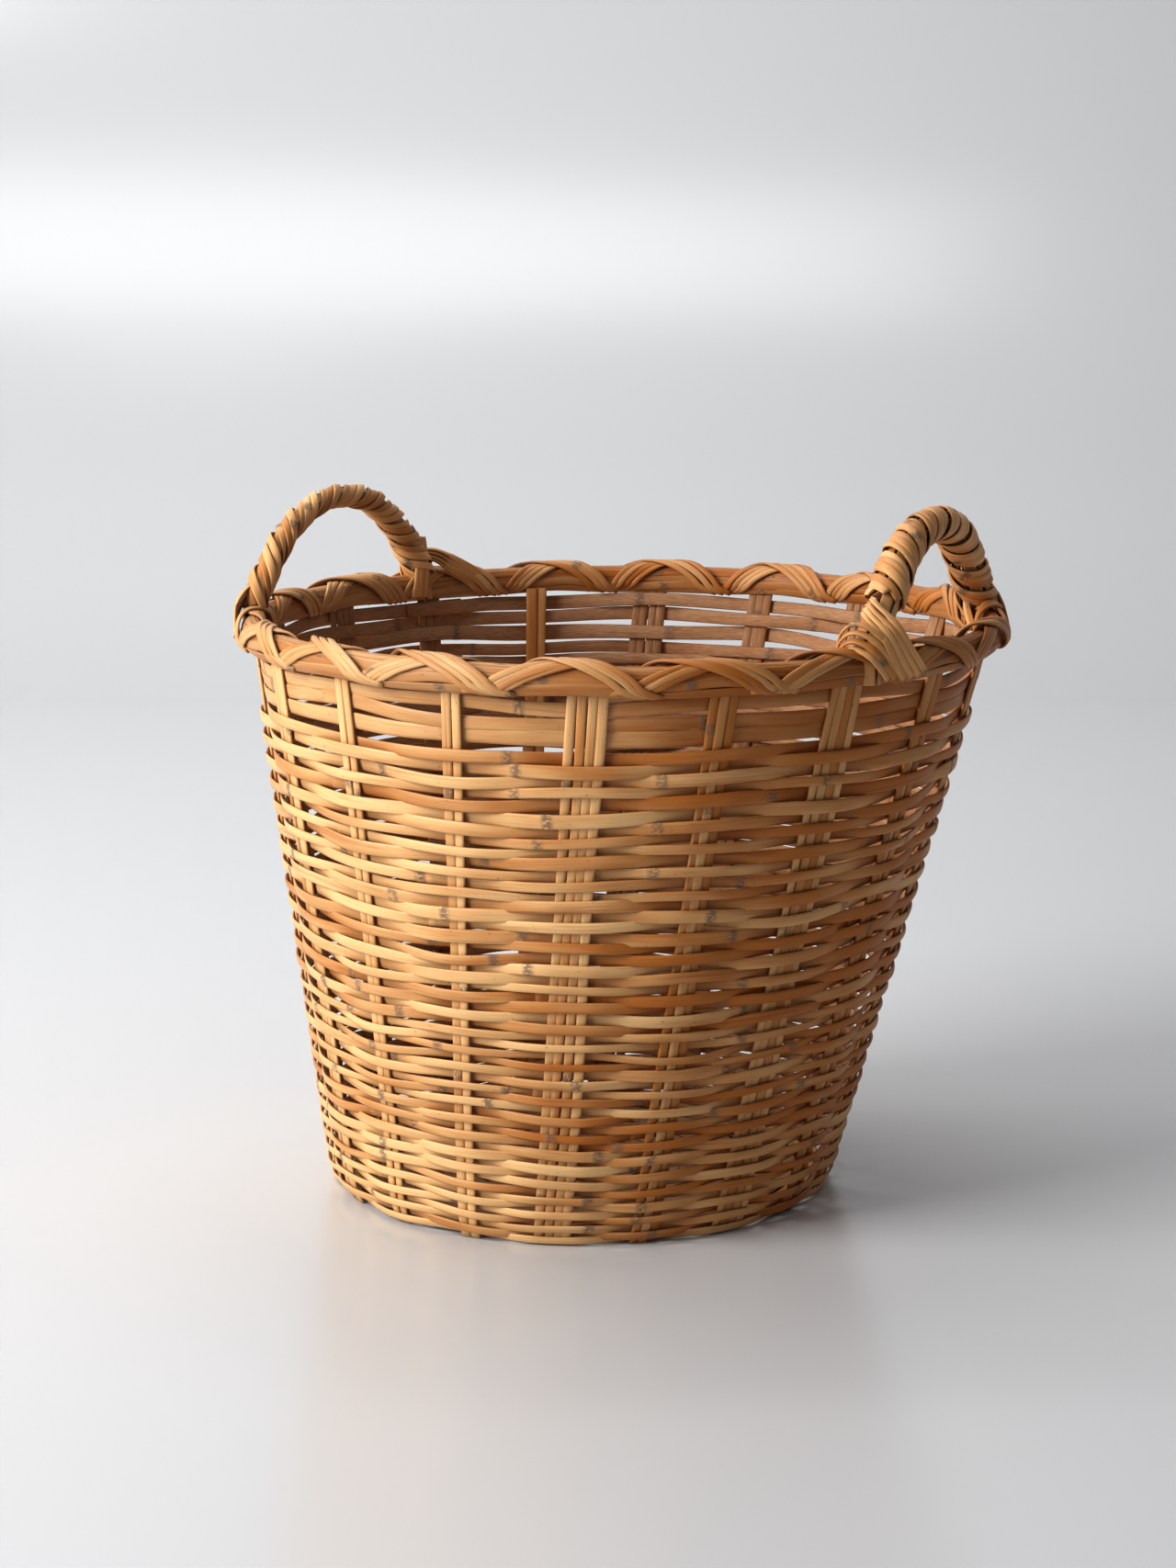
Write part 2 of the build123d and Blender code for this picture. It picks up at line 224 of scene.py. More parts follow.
class Shade:
    """A shader socket that takes part in Python sums; each sum adds its Math node."""

    def __init__(self, tree, socket=None):
        self.tree, self.socket = tree, socket

    def node(self, kind, settings, inputs, output=0):
        made = self.tree.nodes.new(kind)
        for name, value in settings.items():
            setattr(made, name, value)
        for name, value in inputs.items():
            if isinstance(value, Shade):
                self.tree.links.new(value.socket, made.inputs[name])
            else:
                made.inputs[name].default_value = value
        return Shade(self.tree, made.outputs[output]) if made.outputs else None

    def math(self, operation, *values):
        return self.node("ShaderNodeMath", {"operation": operation}, dict(enumerate(values)))

    def __add__(self, other):
        return self.math("ADD", self, other)

    def __radd__(self, other):
        return self.math("ADD", other, self)

    def __sub__(self, other):
        return self.math("SUBTRACT", self, other)

    def __rsub__(self, other):
        return self.math("SUBTRACT", other, self)

    def __mul__(self, other):
        return self.math("MULTIPLY", self, other)

    def __rmul__(self, other):
        return self.math("MULTIPLY", other, self)

    def between(self, low, high):
        """0 below low, 1 above high, and a smooth rise from one to the other."""
        settings = {"interpolation_type": "SMOOTHSTEP"}
        inputs = {"Value": self, "From Min": low, "From Max": high}
        return self.node("ShaderNodeMapRange", settings, inputs)

    def attribute(self, name, output="Fac"):
        return self.node("ShaderNodeAttribute", {"attribute_name": name}, {}, output)

    def stretched(self, scales):
        return self.node("ShaderNodeVectorMath", {"operation": "MULTIPLY"}, {0: self, 1: scales})

    def noise(self, scales, detail=2.0, roughness=0.5):
        inputs = {"Scale": 1.0, "Detail": detail, "Roughness": roughness}
        return self.node("ShaderNodeTexNoise", {}, {"Vector": self.stretched(scales), **inputs})

    def colour(self, share, first, second, blend="MIX"):
        settings = {"data_type": "RGBA", "blend_type": blend}
        return self.node("ShaderNodeMix", settings, {0: share, 6: first, 7: second}, 2)


# How often each mark repeats in a metre: along a cane, across it, and from cane to cane.
STREAKS = (42.0, 2300.0, 3.7)
FIBRES = (160.0, 5200.0, 7.1)
PATCHES = (16.0, 90.0, 5.3)
SCUFFS = (420.0, 700.0, 11.0)
STAINS = (9.0, 260.0, 19.0)
AREAS = (11.0, 11.0, 17.0)  # over the whole basket, along x, y and z
SHADED_SIDE = (0.9, 0.43, 0.0)  # painted light and shade: canes on this side, away from the window light, are painted deeper, those on the other side paler

# What multiplies a cane's own colour in its marks, and in its painted shade.
STREAK_SHADE = (0.6, 0.4, 0.22, 1)
FIBRE_SHADE = (0.6, 0.5, 0.42, 1)
AGED_SHADE = (0.72, 0.52, 0.38, 1)
STAIN_SHADE = (0.5, 0.3, 0.17, 1)
# Painted shade along each cane's edges and where other canes cover it.
PAINTED_SHADE_TINT = (0.42, 0.24, 0.12, 1)

SPECK_COLOUR = (0.16, 0.08, 0.035, 1)
JOINT_COLOUR = (0.2, 0.135, 0.095, 1)
PITH_ROUGHNESS = 0.8
COAT_ROUGHNESS = 0.34
SHEEN = 0.3
GRAIN_DEPTH = 0.0004


def cane_finish(name, pale, deep, pith, side_shade, gloss=0.42, coat=0.12):
    """Split cane: glossy honey skin, dull fibrous pith, rough joints. The skin runs from pale to deep
    with how ripe it is, and the fifth argument is how far painted light and shade make it paler on the
    window's side and deeper on the far side."""
    material = bpy.data.materials.new(name)
    material.use_nodes = True
    tree = material.node_tree
    tree.nodes.clear()
    start = Shade(tree)
    grain = start.attribute("grain", "Vector")
    side = start.attribute("skin")
    skin = side.between(0.2, 0.6)
    # The band along each side of a cane that gets painted shade.
    edge = 1 - side.between(0.62, 0.98)
    tone = start.attribute("tone")
    joint = start.attribute("joint")
    recess_shade = start.attribute("recess_shade")
    place = start.node("ShaderNodeTexCoord", {}, {}, "Object")
    streak = grain.noise(STREAKS, 3.0, 0.6)
    fibre = grain.noise(FIBRES)
    patch = grain.noise(PATCHES)
    area = place.noise(AREAS, 1.0)
    scuff = grain.noise(SCUFFS)
    stain = grain.noise(STAINS, 3.0, 0.65)
    shaded_side = start.node(
        "ShaderNodeVectorMath", {"operation": "DOT_PRODUCT"}, {0: place, 1: SHADED_SIDE}, 1)

    ripeness_and_shade = tone * 0.6 + patch.between(0.3, 0.72) * 0.34 + area.between(0.35, 0.65) * 0.15
    # Painted light and shade: paler towards the window light on the camera's left, deeper on the far
    # side.
    ripeness_and_shade = ripeness_and_shade + shaded_side.between(-0.19, 0.14) * side_shade - side_shade * 0.5
    skin_colour = start.colour(ripeness_and_shade.between(0.0, 1.0), pale, deep)
    line = streak.between(0.48, 0.76) * 0.5
    skin_colour = start.colour(line, skin_colour, STREAK_SHADE, "MULTIPLY")
    pith_colour = start.colour(fibre.between(0.32, 0.7), pith, FIBRE_SHADE, "MULTIPLY")
    fade = patch.between(0.35, 0.75) * 0.45 + tone * 0.55
    pith_colour = start.colour(fade, pith_colour, AGED_SHADE, "MULTIPLY")
    body = start.colour(skin, pith_colour, skin_colour)
    body = start.colour(stain.between(0.56, 0.74) * 0.5, body, STAIN_SHADE, "MULTIPLY")
    # Painted shade: darker along each cane's edges and where other canes cover its domed side.
    painted_shade = edge * skin * 0.5 + recess_shade.between(0.3, 1.0) * skin * 0.3
    body = start.colour(painted_shade, body, PAINTED_SHADE_TINT, "MULTIPLY")
    speck = scuff.between(0.7, 0.76) * 0.6
    body = start.colour(speck, body, SPECK_COLOUR)
    collar = 1 - joint.between(0.0008, 0.0042)
    ragged = collar * scuff.between(0.34, 0.52)
    body = start.colour(ragged * 0.82, body, JOINT_COLOUR)

    rough = PITH_ROUGHNESS - skin * (PITH_ROUGHNESS - gloss) + patch * 0.12 + ragged * 0.3
    ridge = streak * 0.5 + fibre * (1.15 - skin) * 0.6 + scuff * ragged * 1.6 + collar * 0.5
    bump = start.node(
        "ShaderNodeBump", {}, {"Height": ridge, "Strength": 0.55, "Distance": GRAIN_DEPTH})
    surface = start.node("ShaderNodeBsdfPrincipled", {}, {
        "Base Color": body, "Roughness": rough, "Normal": bump,
        "Coat Weight": skin * coat, "Coat Roughness": COAT_ROUGHNESS, "Specular IOR Level": SHEEN,
    })
    start.node("ShaderNodeOutputMaterial", {}, {"Surface": surface})
    return material


# Each finish: its pale skin, its deep skin, its pith, then how far painted light and shade pale the
# window's side and deepen the far side.
FINISHES = {
    "weaver_cane": cane_finish(
        "woven_cane", (0.81, 0.525, 0.25, 1), (0.46, 0.15, 0.016, 1), (0.6, 0.38, 0.225, 1), 0.6),
    "stake_cane": cane_finish(
        "upright_cane", (0.8, 0.51, 0.24, 1), (0.47, 0.17, 0.027, 1), (0.53, 0.33, 0.19, 1), 0.5),
    "rim_cane": cane_finish(
        "border_cane", (0.67, 0.41, 0.19, 1), (0.44, 0.15, 0.02, 1), (0.48, 0.28, 0.145, 1), 0.4),
    "handle_cane": cane_finish(
        "wound_cane", (0.85, 0.515, 0.235, 1), (0.48, 0.185, 0.034, 1), (0.42, 0.24, 0.12, 1), 0.1),
    "base_cane": cane_finish(
        "dull_cane", (0.55, 0.32, 0.13, 1), (0.36, 0.17, 0.06, 1), (0.44, 0.28, 0.16, 1), 0.0,
        gloss=0.5, coat=0.05),
}

# ---------------------------------------------------------------- weavers

WEAVER_THICKNESS = 0.0017
PASS_REACH = 0.0025  # middle of the stakes to the middle of a weaver that passes them
STEPS = 16  # along a weaver, from stake to stake
ROWS_IN_BAND = 4
BORDER_ROWS = 3  # wide rows under the border, inside the stakes at the front
FRONT_POLAR = math.radians(-64)
FRONT_REACH, FRONT_EASE = 0.35, 0.3  # how far round the front reaches, and how softly it ends
INSIDE_WAY, INSIDE_BOW = -0.85, 0.35  # of the way in, at those stakes, and out between them
BORDER_ROW_LIFT = 0.0018
ROW_WIDTHS = (0.86, 1.32)  # shares of the rows' pitch
BORDER_ROW_WIDTHS = (0.84, 1.0)
ROW_TONES = (0.45, 0.34)  # mean and spread
CLEAR_OF_STAKE = 0.001  # a weaver starts to cross this far beside a stake
STRAIGHT_CROSSING = 0.72  # share of a crossing that is straight and not eased
LAP = 0.3  # of the way between stakes, past its start and its end, where a weaver doubles
LAP_FROM, LAP_EASE = 0.25, 0.2  # before the doubled end, where it goes in, and how softly
LAP_DROP, LAP_SET_IN = 0.0004, 0.0013
WANDER, WANDER_PITCH = 0.00085, 0.0055  # up and down, of rows with that pitch
UNEVEN_DEPTH = 0.00022
UNEVEN_BREADTH = 0.05  # share of a row's width
UNEVEN_LEAN = 0.09
CLEAR_OF_TABLE = 0.0007
BUNDLE_HALF = np.array(CANES_IN_STAKE) * STAKE_CANE / 2
WAVES = draw.uniform(0, 2 * math.pi, (4,))


def shared_wave(z, polar):
    """Neighbouring rows rise and fall together."""
    slow = 0.0011 * np.sin(2 * polar + WAVES[0] + 9 * z)
    slow = slow + 0.0009 * np.sin(5 * polar + WAVES[1] - 22 * z)
    return slow + 0.0005 * np.sin(11 * polar + WAVES[2] + 61 * z)


def per_stake(values, place):
    """Values drawn for each stake, eased from one stake to the next."""
    whole = np.floor(place).astype(int)
    share = smooth(place - whole)
    return values[whole % STAKES] * (1 - share) + values[(whole + 1) % STAKES] * share


def weaver_row(canes, z, pitch, row, width, behind_front_stakes):
    """One weaver round the wall, outside every second stake and inside the others."""
    parity = row % 2
    start = 2 * draw.integers(0, STAKES // 2) + 1 - parity
    place = np.arange(start - LAP, start + STAKES + LAP, 1 / STEPS)
    polar = stake_polar(place)
    whole = np.floor(place).astype(int)
    gap = 2 * math.pi * wall_radius(z) / STAKES
    flat = (BUNDLE_HALF + CLEAR_OF_STAKE) / gap
    near, far = flat[whole % STAKES], flat[(whole + 1) % STAKES]
    ramp = np.clip((place - whole - near) / (1 - near - far), 0, 1)
    crossing = STRAIGHT_CROSSING * ramp + (1 - STRAIGHT_CROSSING) * smooth(ramp)
    way = np.where(whole % 2 == parity, 1 - 2 * crossing, 2 * crossing - 1)
    if behind_front_stakes:
        front = smooth((np.cos(polar - FRONT_POLAR) + FRONT_REACH) / FRONT_EASE)
        bow = INSIDE_BOW * np.sin(math.pi * (place - whole)) ** 2
        way = way * (1 - front) + (bow + INSIDE_WAY) * front
    lapped = smooth((place - (start + STAKES - LAP - LAP_FROM)) / LAP_EASE)
    wander = per_stake(draw.normal(0, WANDER, STAKES), place)
    height = z + shared_wave(z, polar) + wander * (pitch / WANDER_PITCH)
    height = np.maximum(height, width / 2 + CLEAR_OF_TABLE)
    height -= lapped * LAP_DROP
    depth = per_stake(draw.normal(0, UNEVEN_DEPTH, STAKES), place)
    radius = wall_radius(height) + way * PASS_REACH + depth - lapped * LAP_SET_IN
    breadth = width * (1 + per_stake(draw.normal(0, UNEVEN_BREADTH, STAKES), place))
    lean = per_stake(draw.normal(0, UNEVEN_LEAN, STAKES), place)
    # Where a weaver passes inside a stake, painted shade darkens its outer face.
    canes.lay(
        at(height, radius, polar), wall_outward(height, polar), breadth, WEAVER_THICKNESS,
        tilt=lean, tone=np.clip(draw.normal(*ROW_TONES), 0, 1), cover_shade=(1 - way) / 2,
    )


row = 0
for band, node in enumerate(BAND_NODES):
    low, high = (corner[2] for corner in node_box(node))
    top_band = band == len(BAND_NODES) - 1
    rows = BORDER_ROWS if top_band else ROWS_IN_BAND
    pitch = (high - low) / rows
    canes = Canes()
    for n in range(rows):
        z = low + (n + 0.5) * pitch + (BORDER_ROW_LIFT if top_band else 0)
        width = pitch * draw.uniform(*(BORDER_ROW_WIDTHS if top_band else ROW_WIDTHS))
        weaver_row(canes, z, pitch, row, width, top_band)
        row += 1
    canes.piece(node, "weaver_cane")

# ---------------------------------------------------------------- stakes

STAKE_THICKNESS = 0.0021
STAKE_LOW = node_box("stake_01")[0][2]
STAKE_TUCK = 0.006  # how far a stake runs up into the border
STAKE_STEPS = 90
STAKE_SLANT = 0.0012
STAKE_SQUEEZE = 0.05  # share by which its canes close up here and there
STAKE_WIDTHS = (1.0, 1.1)  # shares of the pitch of its canes
INNER_STAKE = 6  # high up, this stake lies inside every weaver
INNER_STAKE_SET = 0.0041
INNER_STAKE_PITCH = 1.3  # its canes are wider than the others' by this
INNER_FROM, INNER_EASE = 0.16, 0.05  # where it starts to go inside, and over what height

for index, node in enumerate(STAKE_NODES):
    canes = Canes()
    count = CANES_IN_STAKE[index]
    polar = stake_polar(index)
    z = np.linspace(STAKE_LOW, BORDER_LOW + STAKE_TUCK, STAKE_STEPS)
    slant = draw.normal(0, STAKE_SLANT)
    inside = index == INNER_STAKE
    for cane in range(count):
        pitch = STAKE_CANE * (INNER_STAKE_PITCH if inside else 1)
        sideways = (cane - (count - 1) / 2) * pitch
        bend = 0.0005 * np.sin(z * draw.uniform(18, 40) + any_phase())
        drift = slant * (z / RIM_TOP * 2 - 1) + bend
        squeeze = 1 - STAKE_SQUEEZE * np.sin(z * 31 + index)
        radius = wall_radius(z) + draw.normal(0, UNEVEN_DEPTH)
        facing = wall_outward(z, polar)
        if inside:
            radius = radius - INNER_STAKE_SET * smooth((z - INNER_FROM) / INNER_EASE)
            facing = -facing
        canes.lay(
            at(z, radius, polar, sideways * squeeze + drift), facing,
            pitch * draw.uniform(*STAKE_WIDTHS), STAKE_THICKNESS,
            tilt=draw.normal(0, 0.07), tone=draw.uniform(0.0, 0.8),
        )
    canes.piece(node, "stake_cane")

# ---------------------------------------------------------------- border

BORDER_MIDDLE = (BORDER_LOW + BORDER_HIGH) / 2
BORDER_INSET = 0.0002
BORDER_RADIUS = RIM_RADIUS - BORDER_INSET
BORDER_CORNER = 0.82  # 1 makes its section an ellipse, and less makes it squarer
TURN = np.linspace(0, 2 * math.pi, 400)
CORE_DEPTH, CORE_RISE = 0.0047, 0.0068  # half the core's thickness and half its height
CORE_THICKNESS = 0.0016
CORE_LAP = 1.02  # turns that a core cane makes
LASH_THICKNESS = 0.002
LASH_STEPS = 30
LASH_EASE = 7  # steps over which a lashing rounds its corners
LASH_END = 0.14  # share of a lashing that tucks in, at each end
TUCK_IN, TUCK_DOWN = 0.0026, 0.0022  # how much closer a lashing's ends lie


def border_point(polar, section, depth, rise):
    """On the border's oval: section 0 is outside, a quarter turn is on top."""
    across, upward = np.cos(section), np.sin(section)
    reach = np.sign(across) * np.abs(across) ** BORDER_CORNER
    climb = np.sign(upward) * np.abs(upward) ** BORDER_CORNER
    place = at(BORDER_MIDDLE + climb * rise, BORDER_RADIUS + reach * depth, polar)
    out, _ = spokes(polar)
    outward = out * (across * rise)[:, None] + UP * (upward * depth)[:, None]
    return place, outward


def core_cane(canes, section, width):
    """One long cane round the border's core, with lapped ends."""
    start = draw.uniform(0, 2 * math.pi)
    polar = start + TURN * CORE_LAP
    wave = 0.16 * np.sin(polar * 9 + any_phase())
    wave = wave + 0.1 * np.sin(polar * 18 + any_phase())
    depth = CORE_DEPTH + draw.uniform(0, 0.0004)
    place, outward = border_point(polar, section + wave, depth, CORE_RISE)
    # The core canes lie under the lashings and get much painted shade.
    canes.lay(
        place, outward, width * draw.uniform(0.92, 1.08), CORE_THICKNESS,
        tone=draw.uniform(0.2, 0.9), cover_shade=0.8,
    )


def core_canes(node, sections, width):
    """Long canes at some angles round the border's section, in degrees."""
    canes = Canes()
    for section in sections:
        core_cane(canes, math.radians(section), width)
    canes.piece(node, "rim_cane")


core_canes("rim_hoop_outer", (-40, -12, 16, 42), 0.0052)
core_canes("rim_hoop_inner", (220, 192, 164, 138), 0.0052)
core_canes("rim_top_cane", (66, 90, 114), 0.005)


def eased(values):
    """Values along a cane with their corners rounded and their ends kept."""
    padded = np.pad(values, LASH_EASE // 2, mode="reflect", reflect_type="odd")
    return np.convolve(padded, np.ones(LASH_EASE) / LASH_EASE, mode="valid")


def lash(canes, stake, reach, sections, shift, depth, rise, width, tone):
    """One cane over the border, from one low edge over the top to the other."""
    share = np.linspace(0, 1, LASH_STEPS)
    knots = np.array([0, 0.5, 1])
    polar = stake_polar(stake) + STAKE_ANGLE * np.interp(share, knots, reach)
    section = np.radians(np.interp(share, knots, sections))
    polar, section = eased(polar), eased(section)
    tuck = np.clip((np.abs(share - 0.5) - (0.5 - LASH_END)) / LASH_END, 0, 1)
    spread = shift * (1 - 0.5 * np.abs(share - 0.5) * 2)
    place, outward = border_point(
        polar + spread / BORDER_RADIUS, section, depth - tuck * TUCK_IN, rise - tuck * TUCK_DOWN)
    canes.lay(place, outward, width, LASH_THICKNESS, tilt=draw.normal(0, 0.1), tone=tone)


# Where a lashing starts, turns over the top and ends: in gaps between stakes from its own
# stake, and in degrees round the border's section.
UNDER_REACH = (-0.78, -0.08, 0.3)
UNDER_SECTIONS = (-46, 85, 222)
UNDER_COUNT = 4
UNDER_STEP = 0.0064  # round the border, from one cane to the next
UNDER_DEPTH, UNDER_RISE = 0.006, 0.0084
UNDER_WIDTH = 0.0034
OVER_REACH = (-0.68, -0.22, 0.45)
OVER_SECTIONS = (222, 95, -46)
OVER_COUNTS = (3, 4)
OVER_STEP = 0.0079
OVER_DEPTH, OVER_RISE = 0.0074, 0.01
OVER_WIDTH = 0.0035

LASHING_NODES = sorted(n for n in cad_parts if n.startswith("rim_lashings_"))
STAKES_IN_GROUP = STAKES // len(LASHING_NODES)
for group, node in enumerate(LASHING_NODES):
    canes = Canes()
    for stake in range(group * STAKES_IN_GROUP, (group + 1) * STAKES_IN_GROUP):
        waver = draw.normal(0, 0.002)
        loose = draw.uniform(0, 0.0012)
        for n in range(UNDER_COUNT):
            shift = (n - (UNDER_COUNT - 1) / 2) * UNDER_STEP + waver + draw.normal(0, 0.0007)
            depth = UNDER_DEPTH + loose + draw.uniform(0, 0.0006)
            lash(canes, stake, UNDER_REACH, UNDER_SECTIONS, shift, depth, UNDER_RISE + loose,
                 UNDER_WIDTH * draw.uniform(0.85, 1.12), draw.uniform(0.1, 0.85))
        waver = draw.normal(0, 0.0025)
        loose = draw.uniform(0, 0.0014)
        count = draw.integers(OVER_COUNTS[0], OVER_COUNTS[1] + 1)
        for n in range(count):
            shift = (n - (count - 1) / 2) * OVER_STEP + waver + draw.normal(0, 0.0008)
            depth = OVER_DEPTH + loose + draw.uniform(0, 0.0007)
            lash(canes, stake, OVER_REACH, OVER_SECTIONS, shift, depth, OVER_RISE + loose,
                 OVER_WIDTH * draw.uniform(0.9, 1.15), draw.uniform(0.05, 0.8))
    canes.piece(node, "rim_cane")

# ---------------------------------------------------------------- handles

HANDLE_RISE = 0.055
SHOULDER = 0.026  # radius of the turn from a leg into the arch
SPLAY = math.radians(1)
RIGHT_FRONT = math.radians(-27.5)
RIGHT_BACK = math.radians(34.7)
LEFT_FRONT = math.radians(205.3)
LEFT_BACK = math.radians(151.7)
FOOT_DROP = 0.012  # how far the canes run down into the border
HANDLE_STEPS = 260
GIRTH_PLACES = (0, 0.25, 0.5, 0.75, 1)  # along a handle, where its radius is given
CORE_CANES = 6
CORE_SHARE = 0.76  # of the handle's radius
CORE_WIDTH = 0.0062
WRAP_THICKNESS = 0.0017
WRAP_LAYER = 0.0005  # each cane of a bundle lies on the one before by this
FLAT_CANE = 0.0018  # thickness of the core's and the feet's canes


def handle_line(feet_polar, drawn_in):
    """Middle line of a handle from its front foot to its back foot, with its frame. The legs
    are drawn in by a share of the half span, half way up."""
    feet = [at(RIM_TOP, RIM_RADIUS, polar) for polar in feet_polar]
    centre = (feet[0] + feet[1]) / 2
    along = unit(feet[1] - feet[0])
    outward = unit((centre - RIM_MIDDLE) * (1, 1, 0))
    upward = UP * math.cos(SPLAY) + outward * math.sin(SPLAY)
    half = np.linalg.norm(feet[1] - feet[0]) / 2
    spread = half**2 + HANDLE_RISE**2 - 2 * half * SHOULDER
    crown = spread / (2 * (HANDLE_RISE - SHOULDER))
    low = HANDLE_RISE - crown
    join = math.atan2(-low, half - SHOULDER)
    leg = np.array([[-half, -FOOT_DROP], [-half, -FOOT_DROP / 2]])
    swing = np.linspace(math.pi, math.pi - join, 24)
    first = np.stack([-(half - SHOULDER) + SHOULDER * np.cos(swing), SHOULDER * np.sin(swing)], -1)
    swing = np.linspace(math.pi - join, join, 48)
    arch = np.stack([crown * np.cos(swing), low + crown * np.sin(swing)], -1)
    flat = np.concatenate([leg, first, arch[1:-1], (first * (-1, 1))[::-1], (leg * (-1, 1))[::-1]])
    run = np.concatenate([[0], np.cumsum(np.linalg.norm(np.diff(flat, axis=0), axis=1))])
    even = np.linspace(0, run[-1], HANDLE_STEPS)
    across, up = (np.interp(even, run, flat[:, axis]) for axis in (0, 1))
    across = across * (1 - drawn_in * np.sin(math.pi * np.clip(up / HANDLE_RISE, 0, 1)))
    line = centre + along * across[:, None] + upward * up[:, None]
    tangent = unit(np.gradient(line, axis=0))
    broad = np.cross(along, upward) * np.ones((HANDLE_STEPS, 1))
    if np.dot(broad[0], outward) < 0:
        broad = -broad
    over = unit(np.cross(broad, tangent))
    over *= np.sign(np.sum(over * upward, axis=1).mean())
    return line, broad, over, even


BUNDLES = 2  # of cane, wound round a handle
CANES_IN_BUNDLE = 3
BUNDLE_STEP = 0.86  # radians round the handle from one cane to the next in its bundle
FOOT_CANE = 0.0038
FOOT_STEPS = 34
BORDER_HALF = 0.0075  # nearer the border's middle than this, a foot's cane faces up too


def wound(canes, frame_line, girth, first, last, start, twist, width, tone):
    """One cane wound round a handle between two distances along it."""
    line, broad, over, run = frame_line
    chosen = (run >= first) & (run <= last)
    here = run[chosen]
    turn = start + twist[0] * here + (twist[1] - twist[0]) * here**2 / (2 * run[-1])
    out = broad[chosen] * np.cos(turn)[:, None] + over[chosen] * np.sin(turn)[:, None]
    reach = np.interp(here / run[-1], GIRTH_PLACES, girth)
    reach = reach + 0.0003 * np.sin(here * 160 + start * 3)
    place = line[chosen] + out * reach[:, None]
    canes.lay(place, out, width, WRAP_THICKNESS, tilt=draw.normal(0, 0.14), tone=tone)


def handle(name, feet_polar, drawn_in, girth, ends, twist, width):
    """A handle's long core canes, and two bundles of cane wound round them. Ends are how
    far from each foot the winding stops, and twist is its radians for each metre there."""
    frame_line = handle_line(feet_polar, drawn_in)
    line, broad, over, run = frame_line
    core = Canes()
    slim = np.interp(run / run[-1], GIRTH_PLACES, girth)[:, None] * CORE_SHARE
    for n in range(CORE_CANES):
        turn = n * 2 * math.pi / CORE_CANES
        out = broad * math.cos(turn) + over * math.sin(turn)
        # The core canes get much painted shade, so the gaps between the wound bundles look dark.
        core.lay(line + out * slim, out, CORE_WIDTH, FLAT_CANE, tone=draw.uniform(0.1, 0.8), cover_shade=0.7)
    core.piece(f"handle_{name}_core", "handle_cane")
    wrap = Canes()
    for bundle in range(BUNDLES):
        lead = draw.uniform(-0.003, 0.003)
        for n in range(CANES_IN_BUNDLE):
            start = bundle * 2 * math.pi / BUNDLES + (n + draw.uniform(-0.1, 0.1)) * BUNDLE_STEP
            raised = np.array(girth) + n * WRAP_LAYER + draw.uniform(0, 0.0004)
            wound(wrap, frame_line, raised, ends[0] + lead, run[-1] - ends[1] + lead, start, twist,
                  width * draw.uniform(0.9, 1.04), draw.uniform(0.0, 0.9))
    wrap.piece(f"handle_{name}_sleeve", "handle_cane")


def curve(points, steps):
    """An even, smooth line through a few points."""
    points = np.array(points, float)
    padded = np.concatenate([[2 * points[0] - points[1]], points, [2 * points[-1] - points[-2]]])
    rows = []
    for n in range(len(points) - 1):
        a, b, c, d = padded[n:n + 4]
        t = np.linspace(0, 1, 24, endpoint=n == len(points) - 2)[:, None]
        rows.append(0.5 * (2 * b + (c - a) * t + (2 * a - 5 * b + 4 * c - d) * t**2
                           + (3 * b - a - 3 * c + d) * t**3))
    line = np.concatenate(rows)
    run = np.concatenate([[0], np.cumsum(np.linalg.norm(np.diff(line, axis=0), axis=1))])
    even = np.linspace(0, run[-1], steps)
    return np.stack([np.interp(even, run, line[:, axis]) for axis in range(3)], -1)


def foot_canes(canes, polar, points, count, steps):
    """Canes side by side from a handle's leg over the border. The points are how far
    round the wall, outward and above the hoops the middle of the canes lies, in mm, and the
    steps are from cane to cane at the start, half way and at the end."""
    out, round_ = spokes(np.array(polar))
    foot = at(RIM_TOP, RIM_RADIUS, polar)
    share = np.linspace(0, 2, len(points))
    apart = np.stack([np.interp(share, (0, 1, 2), axis) for axis in zip(*steps)], -1)
    lead = 1 - smooth(np.linspace(0, 1, FOOT_STEPS) / 0.6)
    for n in range(count):
        moved = (np.array(points) + (n - (count - 1) / 2) * apart) / 1000
        line = curve(moved, FOOT_STEPS)
        sideways, forward, above = line[:, :1], line[:, 1:2], line[:, 2:]
        place = foot + sideways * round_ + forward * out + above * UP
        facing = forward * out + sideways * round_ * lead[:, None] * 0.9
        over_top = np.abs(forward) < BORDER_HALF
        facing += np.clip(above, 0, None) * 0.5 * UP * over_top
        place = place + unit(facing) * draw.uniform(0, 0.0005)
        canes.lay(place, facing, FOOT_CANE * draw.uniform(0.92, 1.08), FLAT_CANE,
                  tilt=draw.normal(0, 0.08), tone=draw.uniform(0.1, 0.7))


handle(
    "right", (RIGHT_FRONT, RIGHT_BACK), drawn_in=0.13,
    girth=(0.0088, 0.0084, 0.0072, 0.009, 0.0094), ends=(0.042, 0.006), twist=(165, 150), width=0.0053,
)
handle(
    "left", (LEFT_FRONT, LEFT_BACK), drawn_in=0.05,
    girth=(0.0058, 0.0052, 0.0044, 0.006, 0.0084), ends=(0.014, 0.014), twist=(-125, -140), width=0.0048,
)

